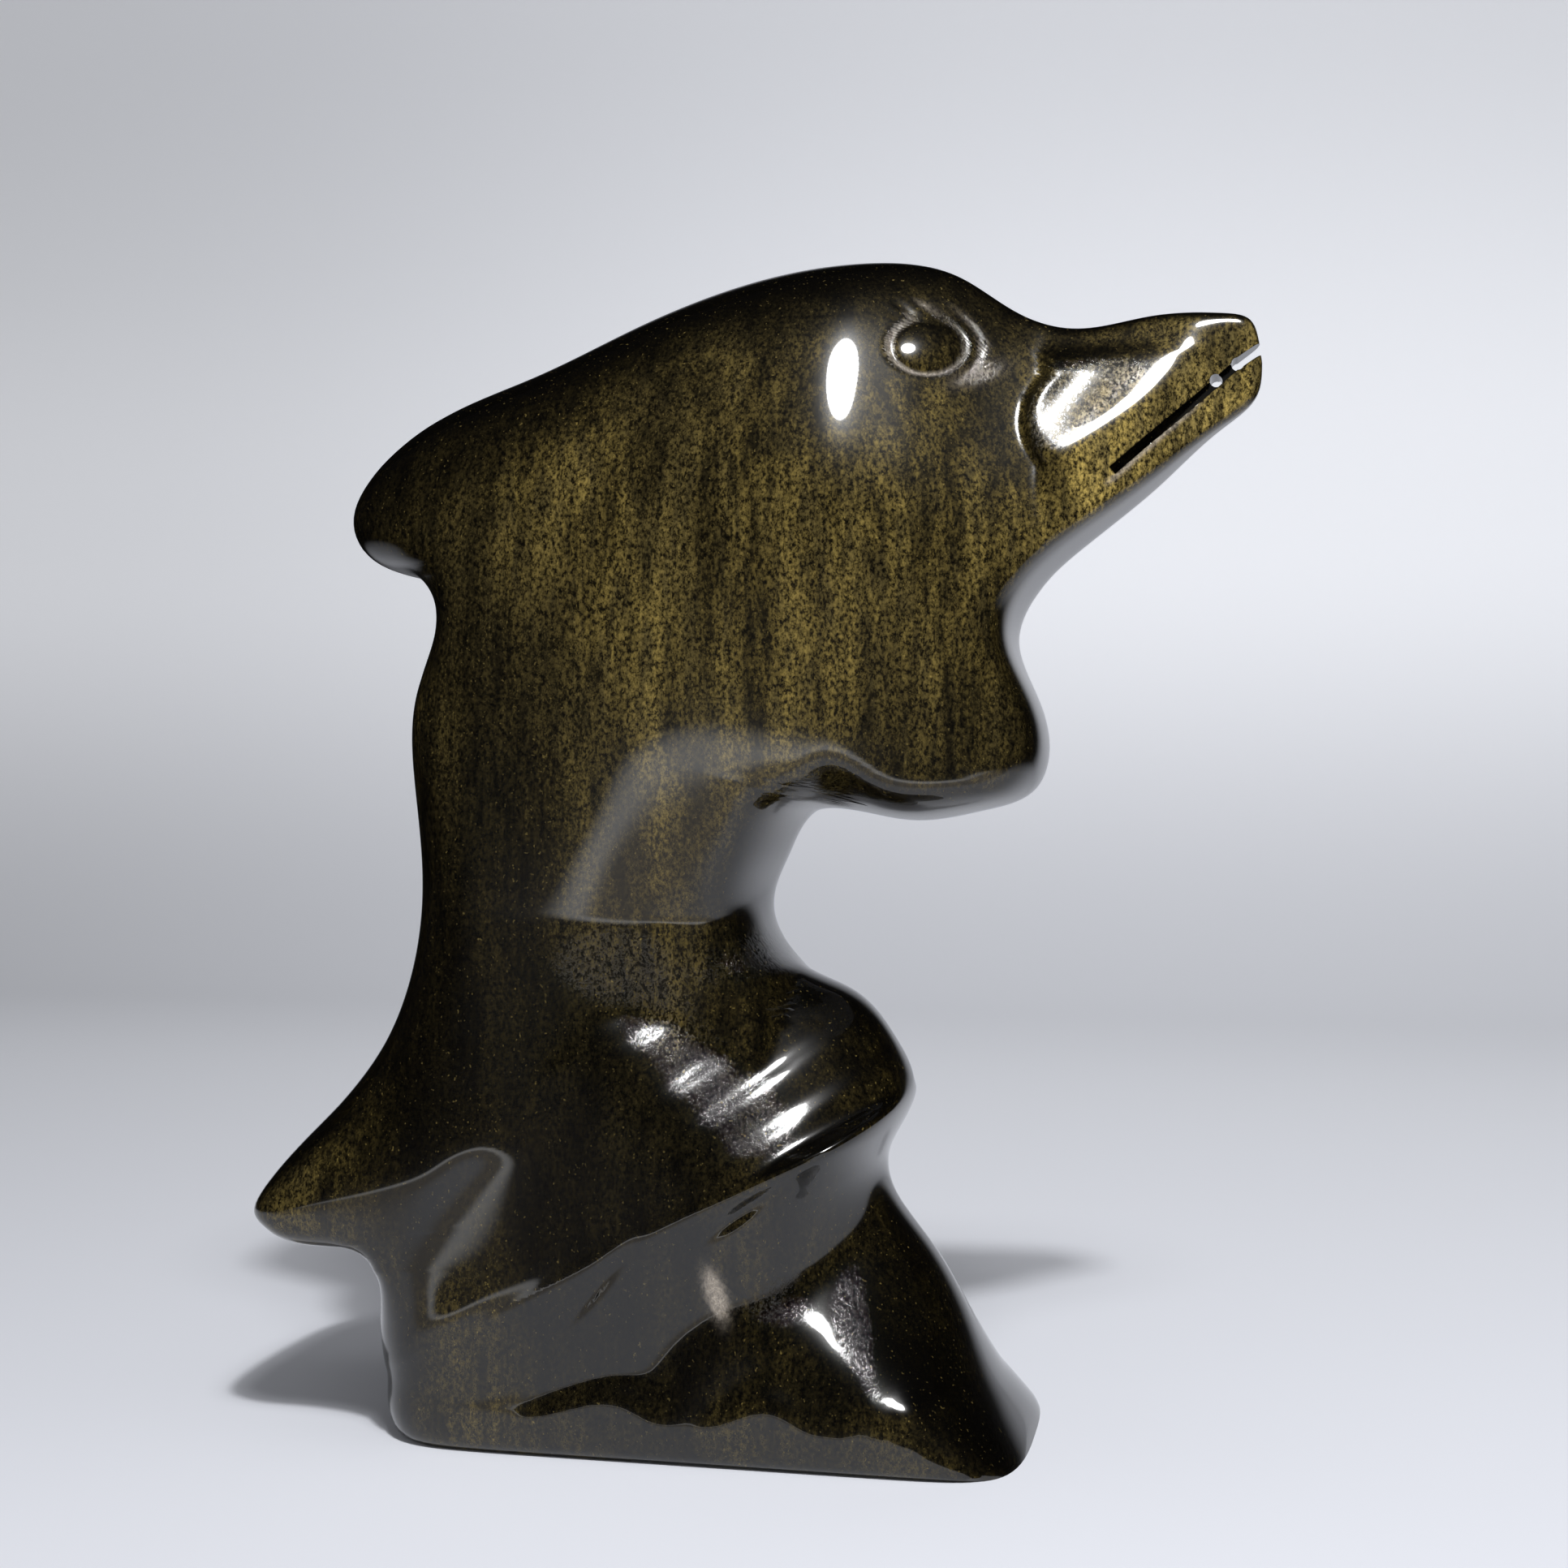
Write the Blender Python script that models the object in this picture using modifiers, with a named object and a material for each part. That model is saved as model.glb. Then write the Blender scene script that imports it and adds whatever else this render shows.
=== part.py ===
"""A small dolphin leaping from a wave, carved from one slab of dark polished stone.

The figure is one solid. Its outline lies in the XZ plane, the beak points to +X, and the
slab's faces look along -Y and +Y. It stands on a flat foot at z = 0. Both faces are carved
alike, so one half is modelled and mirrored.
"""
import math

import bpy
import numpy as np
from mathutils import Matrix, Vector

# Driving sizes, in metres
HEIGHT = 0.080             # from the foot to the top of the head
THICKNESS = 0.0246         # across the slab, where the wave is fullest
FOOT_EDGE_HEIGHT = 0.0036  # how far up the rounding of the foot's edge reaches
FOOT_EDGE_INSET = 0.0013   # how far that rounding steps in under each face
MOUTH_GAP = 0.00062        # opening between the jaws
MOUTH_DEPTH = 0.0021       # depth of the sawn mouth line at the corner of the mouth
MOUTH_WALL = 0.0006        # stone left between the two mouth lines, each side of the middle
MOUTH_HOLE = 0.0009        # diameter of the hole at the front of the mouth
EYE_DIAMETER = 0.0044      # middle of the engraved ring
EYE_GROOVE = 0.0008        # width of that ring's groove

# The outline is drawn for a figure 80 units tall, and one unit is this long
UNIT = HEIGHT / 80

# Resolution of the solid
RIBS = 84                  # ribs from foot to beak
FACE_STEPS = 16            # steps across each face between its rims
RIM_STEPS = 5              # steps round each rim
TURN_REACH = 2.0           # length of outline that gets as many ribs as one radian of turn

# The back of the outline, from the foot to the beak: x, z, rim width, rim power.
# A low rim power is a round edge and a high one is a square edge.
BACK = (
    (-23.6, 0.0, 5.5, 2.4),     # foot
    (-23.5, 4.0, 5.5, 2.4),
    (-23.6, 8.0, 4.0, 2.4),
    (-23.4, 11.5, 2.0, 2.6),    # under the tail
    (-28.4, 12.3, 1.6, 2.6),
    (-31.0, 13.3, 1.8, 2.4),
    (-32.4, 14.4, 2.2, 2.2),    # tail tip
    (-31.3, 17.5, 3.0, 2.2),
    (-27.5, 21.8, 4.5, 2.2),
    (-24.0, 26.3, 5.0, 2.2),
    (-22.0, 31.1, 5.0, 2.2),
    (-21.2, 37.0, 5.0, 2.2),
    (-21.8, 44.0, 5.0, 2.2),
    (-21.4, 51.6, 5.0, 2.2),
    (-20.2, 56.5, 3.5, 2.2),    # notch under the back fin
    (-21.6, 58.4, 2.6, 2.2),
    (-25.0, 59.6, 2.3, 2.2),
    (-26.8, 62.4, 2.5, 2.1),    # back fin tip
    (-25.2, 66.3, 2.6, 2.1),
    (-20.6, 70.1, 3.0, 2.1),
    (-13.6, 72.9, 5.0, 2.1),
    (-6.8, 76.0, 7.0, 2.1),
    (1.0, 78.8, 9.0, 2.1),
    (9.0, 80.0, 10.0, 2.1),     # top of the head
    (15.6, 79.0, 9.0, 2.1),
    (20.1, 76.1, 6.5, 2.1),     # forehead
    (23.8, 75.0, 4.0, 2.1),     # beak root
    (28.6, 75.6, 3.0, 2.1),
    (33.6, 75.6, 2.2, 2.1),
    (35.3, 75.1, 1.6, 2.1),
    (35.9, 73.6, 1.2, 2.1),     # tip of the upper jaw
)

# The belly of the outline, from the foot to the tip of the lower jaw
BELLY = (
    (21.1, 0.0, 2.2, 4.6),      # foot
    (18.8, 3.4, 2.6, 4.2),
    (16.5, 8.0, 3.0, 3.4),
    (13.6, 12.9, 3.4, 2.6),
    (10.7, 18.4, 3.5, 2.2),     # under the crest
    (12.0, 21.2, 3.5, 2.2),
    (12.6, 23.6, 4.0, 2.2),     # crest of the wave
    (11.5, 26.5, 4.0, 2.2),
    (8.7, 29.8, 3.5, 2.2),
    (4.3, 32.0, 2.5, 2.3),
    (2.2, 35.7, 2.5, 2.4),      # belly
    (3.3, 39.2, 2.4, 2.4),
    (5.2, 42.1, 2.2, 2.0),
    (8.6, 42.4, 2.4, 1.8),      # under the flipper
    (13.0, 41.7, 2.4, 1.8),
    (17.6, 42.4, 2.2, 2.0),
    (20.9, 43.8, 1.8, 2.2),
    (21.8, 46.0, 1.6, 2.4),     # flipper tip
    (21.0, 50.3, 1.6, 2.4),
    (19.6, 54.4, 1.4, 2.6),     # throat
    (20.9, 57.6, 1.2, 3.0),
    (24.5, 60.9, 0.9, 3.4),
    (29.4, 64.6, 0.9, 3.4),
    (33.5, 68.0, 0.9, 3.2),
    (35.8, 70.1, 0.9, 2.6),
    (36.1, 72.2, 0.9, 2.2),     # tip of the lower jaw
)

# Which point of the back faces which point of the belly across a rib
FACING = (
    (0, 0.0),
    (1, 0.8),
    (2, 1.7),
    (2.6, 2.4),
    (3, 3.2),
    (3.5, 4.2),
    (4, 5.0),
    (5, 5.6),
    (6, 6.2),
    (7, 6.7),
    (8, 7.2),
    (9, 7.9),
    (10, 8.8),
    (11, 9.9),
    (12, 11.0),
    (12.9, 12.3),
    (13.2, 14.0),
    (13.5, 15.6),
    (13.8, 17.2),
    (14.2, 18.8),
    (14.7, 20.0),
    (15.3, 20.6),
    (16, 20.9),
    (17, 21.0),
    (20, 21.1),
    (23, 21.2),
    (24, 21.4),
    (25, 21.8),
    (26, 22.3),
    (27, 23.0),
    (28, 24.0),
    (30, 25.0),
)


def natural_spline(knots, values, where):
    """Value of the natural cubic spline through values at knots, for every place in where."""
    count = len(knots)
    step = np.diff(knots)
    slope = np.diff(values, axis=0) / step[:, None]
    system = np.eye(count)
    right = np.zeros_like(values)
    for i in range(1, count - 1):
        system[i, i - 1:i + 2] = step[i - 1], 2 * (step[i - 1] + step[i]), step[i]
        right[i] = 6 * (slope[i] - slope[i - 1])
    bend = np.linalg.solve(system, right)
    at = np.clip(np.searchsorted(knots, where, side="right") - 1, 0, count - 2)
    low = (where - knots[at])[:, None]
    high = (knots[at + 1] - where)[:, None]
    gap = step[at][:, None]
    curve = (bend[at] * high ** 3 + bend[at + 1] * low ** 3) / (6 * gap)
    line = (values[at] / gap - bend[at] * gap / 6) * high
    return curve + line + (values[at + 1] / gap - bend[at + 1] * gap / 6) * low


def outline_curve(points, index):
    """Points and rim values of an outline at fractional point numbers."""
    table = np.array(points, dtype=float)
    spread = np.linalg.norm(np.diff(table[:, :2], axis=0), axis=1)
    knots = np.concatenate(([0.0], np.cumsum(spread)))
    where = np.interp(index, np.arange(len(table)), knots)
    place = natural_spline(knots, table[:, :2], where)
    rims = np.stack([np.interp(where, knots, table[:, k]) for k in (2, 3)], axis=1)
    return place, rims


def travel(line):
    """Length of each stretch of a line, plus a share of the turn it makes there."""
    way = np.diff(line, axis=0)
    heading = np.unwrap(np.arctan2(way[:, 1], way[:, 0]))
    return np.linalg.norm(way, axis=1) + TURN_REACH * np.abs(np.gradient(heading))


def rib_ends(count):
    """Back and belly ends of count ribs, evenly spread along both outlines."""
    facing = np.array(FACING, dtype=float)
    fine = np.linspace(0, len(facing) - 1, 1200)
    order = np.arange(len(facing))
    back_index = np.interp(fine, order, facing[:, 0])
    belly_index = np.interp(fine, order, facing[:, 1])
    way = travel(outline_curve(BACK, back_index)[0]) + travel(outline_curve(BELLY, belly_index)[0])
    length = np.concatenate(([0.0], np.cumsum(way)))
    even = np.linspace(0, length[-1], count)
    back = outline_curve(BACK, np.interp(even, length, back_index))
    belly = outline_curve(BELLY, np.interp(even, length, belly_index))
    return back, belly


def step(value, width):
    """Smooth step from 0 to 1, centred on value 0."""
    return 0.5 * (1 + np.tanh(value / width))


def ramp(value, width):
    """Zero for negative values and the value itself for positive ones, rounded over width."""
    return width * np.logaddexp(0, value / width)


def bell(value, width):
    """Smooth bump of height 1 at value 0."""
    return np.exp(-(value / width) ** 2)


def beside(x, z, start, end):
    """Place along a line from start (0) to end (1), and distance to its left, in units."""
    way = np.subtract(end, start)
    length = math.hypot(*way)
    dx, dz = x - start[0], z - start[1]
    along = (dx * way[0] + dz * way[1]) / length ** 2
    return along, (dz * way[0] - dx * way[1]) / length


# The carving, in units. Each line runs from its first point to its second.
CREST = ((-17.3, 6.8), (14.2, 24.1))         # edge of the wave's rolled crest
FOLDS = (                                    # grooves across the roll, with depth
    ((-5.5, 24.2), (2.4, 30.4), 0.50),
    ((-2.0, 22.6), (9.6, 28.2), 0.55),
    ((1.4, 20.8), (11.6, 25.8), 0.50),
    ((3.4, 19.2), (12.8, 23.8), 0.35),
)
FOLD_WIDTH = 1.0
FAN_TOP = (11.0, 19.6)                       # where the skirt's flutes meet
FAN_FEET = (-15.0, -1.4, 9.3, 14.2, 18.8, 21.6)   # x of the ridges between them, at the foot
FLUTE_DEPTH = 0.07                           # as a share of a flute's width
TAIL_RIDGE = ((-31.3, 15.0), (-13.8, 20.9))  # fullest line of the tail
TAIL_ROOT = ((-15.8, 7.0), (-10.6, 21.0))    # where the tail leaves the wave
BEAK_RIDGE = ((21.4, 65.0), (29.9, 71.2))    # top edge of the jaw's side
MOUTH = ((26.3, 64.5), (33.1, 70.9))         # from the corner of the mouth to its hole
JAW_TIP = (34.4, 72.1)                       # where the jaws part at the tip of the beak
EYE = (14.35, 73.3)


def body_depth(x, z):
    """Relief of the dolphin: flat flank, hollow waist, thinner head and fins."""
    depth = -1.0 * step(z - 34, 9)
    depth -= 0.52 * ramp(x - 14.6, 5.3) * step(z - 42, 2.5)
    depth -= ramp(z - 61, 2.0) ** 2 / 90 * (1 - step(x - 18, 3))
    waist = ramp(53 - 0.36 * ramp(x - 1, 1) - z, 1.5)
    depth -= 0.0072 * waist ** 2 * step(x + 7.0, 3.2)
    depth -= 0.25 * ramp(-15 - x, 2) * step(z - 56, 3)
    return depth


def tail_depth(x, z):
    """Relief of the tail: a long ridge, dished above it and falling away below it."""
    _, above = beside(x, z, *TAIL_RIDGE)
    _, outside = beside(x, z, *TAIL_ROOT)
    dish = 2.2 * bell(np.hypot(x + 21.5, z - 27), 6.5)
    fall = 0.21 * ramp(-above, 0.5)
    climb = 0.24 * ramp(outside, 0.5)
    hollow = -0.3 * np.logaddexp(-fall / 0.3, -climb / 0.3)
    return -dish - np.maximum(hollow, 0) * step(z - 8.0, 1.2) * step(-x - 11, 1.5)


def beak_depth(x, z):
    """Relief of the upper jaw, scooped back above a ridge that runs along the jaw's side."""
    _, above = beside(x, z, *BEAK_RIDGE)
    scoop = 0.5 * ramp(above, 0.5) * step(x - 22.2 - 0.045 * (z - 68) ** 2, 1.3)
    scoop = 2.4 * (1 - np.exp(-scoop / 2.4)) * (1 - step(x - 33, 2.5))
    return -scoop * (1 - step(z - 73.6, 1.0) * (1 - step(x - 27, 2)))


def wave_depth(x, z):
    """Relief of the wave: a rolled crest, the hollow under it and a skirt of fanned flutes."""
    _, above = beside(x, z, *CREST)
    roll = -0.0098 * ramp(above, 1.0) ** 2
    under = -0.95 * step(-above - 2.4, 1.5)
    skirt = 0.085 * ramp(-above - 4.4, 0.8)
    drop = np.maximum(FAN_TOP[1] - z, 1.0)
    foot = FAN_TOP[0] + (x - FAN_TOP[0]) * FAN_TOP[1] / drop
    flutes = np.zeros_like(x)
    for left, right in zip(FAN_FEET, FAN_FEET[1:]):
        share = np.clip((foot - left) / (right - left), 0, 1)
        flutes += FLUTE_DEPTH * (right - left) * 4 * share * (1 - share)
    flutes *= np.minimum(drop / FAN_TOP[1], 1) * step(-above - 3.6, 0.8)
    folds = np.zeros_like(x)
    for start, end, deep in FOLDS:
        along, side = beside(x, z, start, end)
        folds += deep * bell(side, FOLD_WIDTH) * bell(along - 0.5, 0.6)
    outside = 0.3 * ramp(-13 - x, 2) * step(z - 9, 2)
    return roll + under + skirt - flutes - folds - outside


def face_depth(x, z):
    """Half thickness of the slab at a place on its face, in units."""
    _, above = beside(x, z, *CREST)
    body = body_depth(x, z) + tail_depth(x, z) + beak_depth(x, z)
    body -= 4 * step(-above - 0.6, 0.8)
    wave = wave_depth(x, z) - 20 * step(z - 44, 2)
    soft = 0.18
    relief = soft * np.logaddexp(body / soft, wave / soft)
    return THICKNESS / 2 / UNIT + relief


def edge_distance(x, z, outline):
    """Distance from each place to the outline, in units, without creases along the middle.

    Each length of outline pulls with the inverse cube of its distance. Close to the outline
    the pull is two over the squared distance, as beside a straight line.
    """
    start, end = outline[:-1], outline[1:]
    way = end - start
    length = np.linalg.norm(way, axis=1)
    way = way / length[:, None]
    dx = x[..., None] - start[:, 0]
    dz = z[..., None] - start[:, 1]
    along = dx * way[:, 0] + dz * way[:, 1]
    across = np.maximum(np.abs(dx * way[:, 1] - dz * way[:, 0]), 1e-4)
    near, far = -along, length - along
    pull = far / np.hypot(far, across) - near / np.hypot(near, across)
    return np.sqrt(2 / np.maximum((pull / across ** 2).sum(axis=-1), 1e-9))


def figure_grid(ribs, face_steps, rim_steps):
    """Front half of the surface as a grid of points, one row for each rib."""
    (back, back_rim), (belly, belly_rim) = rib_ends(ribs)
    across = belly - back
    width = np.linalg.norm(across, axis=1)
    chord = across / width[:, None]

    def slant(line):
        """Sine of the angle between an outline and the ribs that end on it."""
        way = np.gradient(line, axis=0)
        way /= np.linalg.norm(way, axis=1)[:, None] + 1e-12
        return np.abs(way[:, 0] * chord[:, 1] - way[:, 1] * chord[:, 0])

    back_reach = np.minimum(back_rim[:, 0] / np.maximum(slant(back), 0.3), 0.36 * width)
    belly_reach = np.minimum(belly_rim[:, 0] / np.maximum(slant(belly), 0.3), 0.36 * width)
    turn = (1 - np.cos(np.linspace(0, np.pi / 2, rim_steps + 1))) ** 1.15
    middle = np.linspace(0, 1, face_steps + 1)[1:-1]
    left = back_reach[:, None] * turn
    right = width[:, None] - belly_reach[:, None] * turn[::-1]
    span = (width - back_reach - belly_reach)[:, None]
    place = np.concatenate((left, back_reach[:, None] + span * middle, right), axis=1)
    share = place / width[:, None]
    x = back[:, :1] + across[:, :1] * share
    z = back[:, 1:] + across[:, 1:] * share
    blend = share ** 2 * (3 - 2 * share)
    rim = back_rim[:, :1] * (1 - blend) + belly_rim[:, :1] * blend
    power = back_rim[:, 1:] * (1 - blend) + belly_rim[:, 1:] * blend

    (line_a, _), (line_b, _) = rib_ends(420)
    below = np.array([[0.0, -40.0]])
    outline = np.concatenate((line_a[:1] + below, line_a, line_b[::-1], line_b[:1] + below))
    distance = edge_distance(x, z, outline)
    closing = (1 - np.exp(-2.6 * distance / rim)) ** (1 / power)
    y = -face_depth(x, z) * closing
    y[:, 0] = y[:, -1] = y[-1] = 0.0

    low = np.clip(1 - z * UNIT / FOOT_EDGE_HEIGHT, 0, 1)
    tuck = (1 - np.sqrt(1 - low ** 2)) * FOOT_EDGE_INSET / UNIT
    side = np.clip(-y / (THICKNESS / 2 / UNIT), 0, 1)
    y += tuck * side
    x += tuck * np.where(share < 0.5, 1.8, -0.3) * (1 - np.clip(closing, 0, 1) ** 6)
    return np.stack((x, y, z), axis=2) * UNIT


def build_figure(grid, collection):
    """The half surface with its half of the foot, mirrored into the whole figure."""
    rows, columns = grid.shape[:2]
    number = np.arange(rows * columns).reshape(rows, columns)
    quads = np.stack((number[:-1, :-1], number[:-1, 1:], number[1:, 1:], number[1:, :-1]), axis=2)
    middle = grid[0, 1:-1] * (1, 0, 1)
    inner = np.concatenate(([number[0, 0]], np.arange(columns - 2) + number.size, [number[0, -1]]))
    foot = [tuple(int(v) for v in (inner[k], inner[k + 1], number[0, k + 1], number[0, k]))
            for k in range(1, columns - 2)]
    foot.append(tuple(int(v) for v in (number[0, 0], inner[1], number[0, 1])))
    foot.append(tuple(int(v) for v in (inner[-2], number[0, -1], number[0, -2])))
    faces = [tuple(int(v) for v in quad) for quad in quads.reshape(-1, 4)] + foot
    mesh = bpy.data.meshes.new("dolphin_figurine")
    mesh.from_pydata([tuple(p) for p in np.concatenate((grid.reshape(-1, 3), middle))], [], faces)
    mesh.update()
    figure = bpy.data.objects.new("dolphin_figurine", mesh)
    collection.objects.link(figure)
    mirror = figure.modifiers.new("Both faces", "MIRROR")
    mirror.use_axis = (False, True, False)
    mirror.merge_threshold = 0.00001
    return figure


def face_plane(grid, place, reach=2.5):
    """Point of the front face at a place, and the face's outward direction round it."""
    points = grid.reshape(-1, 3)
    x, z = place[0] * UNIT, place[1] * UNIT
    points = points[np.hypot(points[:, 0] - x, points[:, 2] - z) < reach * UNIT]
    terms = np.stack((np.ones(len(points)), points[:, 0] - x, points[:, 2] - z), axis=1)
    level, tilt_x, tilt_z = np.linalg.lstsq(terms, points[:, 1], rcond=None)[0]
    return Vector((x, level, z)), Vector((tilt_x, -1, tilt_z)).normalized()


def keep_cutter(name, collection):
    """Move the primitive just made into the cutters' collection and show it as wire."""
    cutter = bpy.context.object
    cutter.name = name
    for home in list(cutter.users_collection):
        home.objects.unlink(cutter)
    collection.objects.link(cutter)
    cutter.display_type = "WIRE"
    cutter.hide_render = True


def cut_box(name, start, end, out, gap, deep, collection):
    """Box with one face on the line from start to end, reaching deep towards out."""
    along = (end - start).normalized()
    thin = along.cross(out).normalized()
    away = thin.cross(along)
    middle = (start + end) / 2 + away * deep / 2
    turn = Matrix((along, away, thin)).transposed().to_4x4()
    size = Matrix.Diagonal(((end - start).length, deep, gap, 1))
    bpy.ops.mesh.primitive_cube_add(size=1)
    bpy.context.object.matrix_world = Matrix.Translation(middle) @ turn @ size
    keep_cutter(name, collection)


def build_cutters(grid, collection):
    """The engraved eyes, the mouth lines, the hole in front of them and the parted jaws."""
    corner, _ = face_plane(grid, MOUTH[0], 1.6)
    eye, eye_out = face_plane(grid, EYE)
    for side in (1, -1):
        flip = Vector((1, side, 1))
        turn = (eye_out * flip).to_track_quat("Z", "Y").to_euler()
        bpy.ops.mesh.primitive_torus_add(
            major_radius=EYE_DIAMETER / 2, minor_radius=EYE_GROOVE / 2,
            major_segments=32, minor_segments=6, location=eye * flip, rotation=turn)
        keep_cutter("eye_ring", collection)
        inner = Vector((corner.x, corner.y + MOUTH_DEPTH, corner.z))
        front = Vector((MOUTH[1][0] * UNIT, -MOUTH_WALL, MOUTH[1][1] * UNIT))
        outward = Vector((0, -side, 0))
        cut_box("mouth_line", inner * flip, front * flip, outward, MOUTH_GAP, 0.008, collection)
    hole = (MOUTH[1][0] * UNIT, 0, MOUTH[1][1] * UNIT)
    bpy.ops.mesh.primitive_cylinder_add(
        vertices=16, radius=MOUTH_HOLE / 2, depth=THICKNESS, location=hole,
        rotation=(math.pi / 2, 0, 0))
    keep_cutter("mouth_hole", collection)
    root = Vector((JAW_TIP[0] * UNIT, -THICKNESS / 2, JAW_TIP[1] * UNIT))
    tip = root + Vector((0.004, 0, 0.0028))
    cut_box("jaw_parting", root, tip, Vector((0, 1, 0)), MOUTH_GAP, THICKNESS, collection)


def carve(figure, cutters):
    """Cut the fine lines out of the figure."""
    carving = figure.modifiers.new("Fine lines", "BOOLEAN")
    carving.operation = "DIFFERENCE"
    carving.operand_type = "COLLECTION"
    carving.solver = "EXACT"
    carving.collection = cutters


def stone():
    """Dark olive brown stone with a mirror polish."""
    material = bpy.data.materials.new("polished_stone")
    material.use_nodes = True
    shader = material.node_tree.nodes["Principled BSDF"]
    shader.inputs["Base Color"].default_value = (0.035, 0.027, 0.009, 1)
    shader.inputs["Roughness"].default_value = 0.08
    shader.inputs["Metallic"].default_value = 0.0
    return material


def main():
    for thing in list(bpy.data.objects):
        bpy.data.objects.remove(thing)
    parts = bpy.data.collections.new("dolphin_figurine")
    bpy.context.scene.collection.children.link(parts)
    cutters = bpy.data.collections.new("cutters")
    bpy.context.scene.collection.children.link(cutters)
    grid = figure_grid(RIBS, FACE_STEPS, RIM_STEPS)
    figure = build_figure(grid, parts)
    figure.data.materials.append(stone())
    build_cutters(grid, cutters)
    carve(figure, cutters)


main()
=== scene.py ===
"""Looks of a small dolphin figurine, carved with its wave from one slab of dark gold-sheen stone.

Run as a script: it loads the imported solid, lays the polished figurine over it, gives it its stone
and puts it on a pale table under a soft lamp and its bowl.
"""
import math

import bpy
import numpy as np
from mathutils import Matrix, Vector


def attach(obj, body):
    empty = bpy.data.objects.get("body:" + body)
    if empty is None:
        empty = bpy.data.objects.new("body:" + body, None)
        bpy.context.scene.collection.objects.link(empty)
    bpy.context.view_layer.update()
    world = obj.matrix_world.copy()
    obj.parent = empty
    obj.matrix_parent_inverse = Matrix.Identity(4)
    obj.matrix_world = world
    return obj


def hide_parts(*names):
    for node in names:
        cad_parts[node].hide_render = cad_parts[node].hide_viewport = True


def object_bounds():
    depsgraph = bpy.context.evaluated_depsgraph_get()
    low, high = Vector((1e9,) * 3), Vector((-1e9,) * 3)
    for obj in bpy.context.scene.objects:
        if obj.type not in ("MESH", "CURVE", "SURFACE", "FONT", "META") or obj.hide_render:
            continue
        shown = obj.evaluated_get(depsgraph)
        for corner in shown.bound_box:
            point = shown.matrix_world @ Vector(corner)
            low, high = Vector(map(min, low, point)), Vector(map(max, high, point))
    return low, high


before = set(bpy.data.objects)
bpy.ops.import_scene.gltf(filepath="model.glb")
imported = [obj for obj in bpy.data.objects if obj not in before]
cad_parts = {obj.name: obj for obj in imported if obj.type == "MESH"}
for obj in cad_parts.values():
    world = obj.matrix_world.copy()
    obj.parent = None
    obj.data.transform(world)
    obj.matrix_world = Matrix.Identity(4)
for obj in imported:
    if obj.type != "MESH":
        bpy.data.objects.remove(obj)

bl_info = {
    "name": "Carved dolphin figurine",
    "version": (1, 0, 0),
    "blender": (4, 5, 0),
    "location": "3D View > Sidebar > Figurine",
    "description": "Polished stone dolphin on a wave, with its table and lamps",
    "category": "Object",
}

NODE = "dolphin_figurine"
CAD_LOW, CAD_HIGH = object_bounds()
PACKED_HEIGHT = 0.080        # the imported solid's height, in metres
UNITS_TALL = 80              # the outline and the carving are drawn for a figure this tall

# The back of the outline, from the foot to the beak: x, z, rim width, rim power.
# A low rim power is a round edge and a high one is a square edge.
BACK = (
    (-23.6, 0.0, 5.5, 2.4),     # foot
    (-23.5, 4.0, 5.5, 2.4),
    (-23.6, 8.0, 4.0, 2.4),
    (-23.4, 11.5, 2.0, 2.6),    # under the tail
    (-28.4, 12.3, 1.6, 2.6),
    (-31.0, 13.3, 1.8, 2.4),
    (-32.4, 14.4, 2.2, 2.2),    # tail tip
    (-31.3, 17.5, 3.0, 2.2),
    (-27.5, 21.8, 4.5, 2.2),
    (-24.0, 26.3, 5.0, 2.2),
    (-22.0, 31.1, 5.0, 2.2),
    (-21.2, 37.0, 5.0, 2.2),
    (-21.8, 44.0, 5.0, 2.2),
    (-21.4, 51.6, 5.0, 2.2),
    (-20.2, 56.5, 3.5, 2.2),    # notch under the back fin
    (-21.6, 58.4, 2.6, 2.2),
    (-25.0, 59.6, 2.3, 2.2),
    (-26.8, 62.4, 2.5, 2.1),    # back fin tip
    (-25.2, 66.3, 2.6, 2.1),
    (-20.6, 70.1, 3.5, 2.1),
    (-13.6, 72.9, 4.0, 2.1),
    (-6.8, 76.0, 4.5, 2.1),
    (1.0, 78.8, 5.0, 2.1),
    (9.0, 80.0, 5.0, 2.1),     # top of the head
    (15.6, 79.0, 5.0, 2.1),
    (20.1, 76.1, 4.5, 2.1),     # forehead
    (23.8, 75.0, 4.0, 2.1),     # beak root
    (28.6, 75.6, 3.0, 2.1),
    (33.6, 75.6, 1.4, 2.2),
    (35.3, 75.1, 1.1, 2.2),
    (35.9, 73.6, 1.2, 2.1),     # tip of the upper jaw
)

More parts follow.
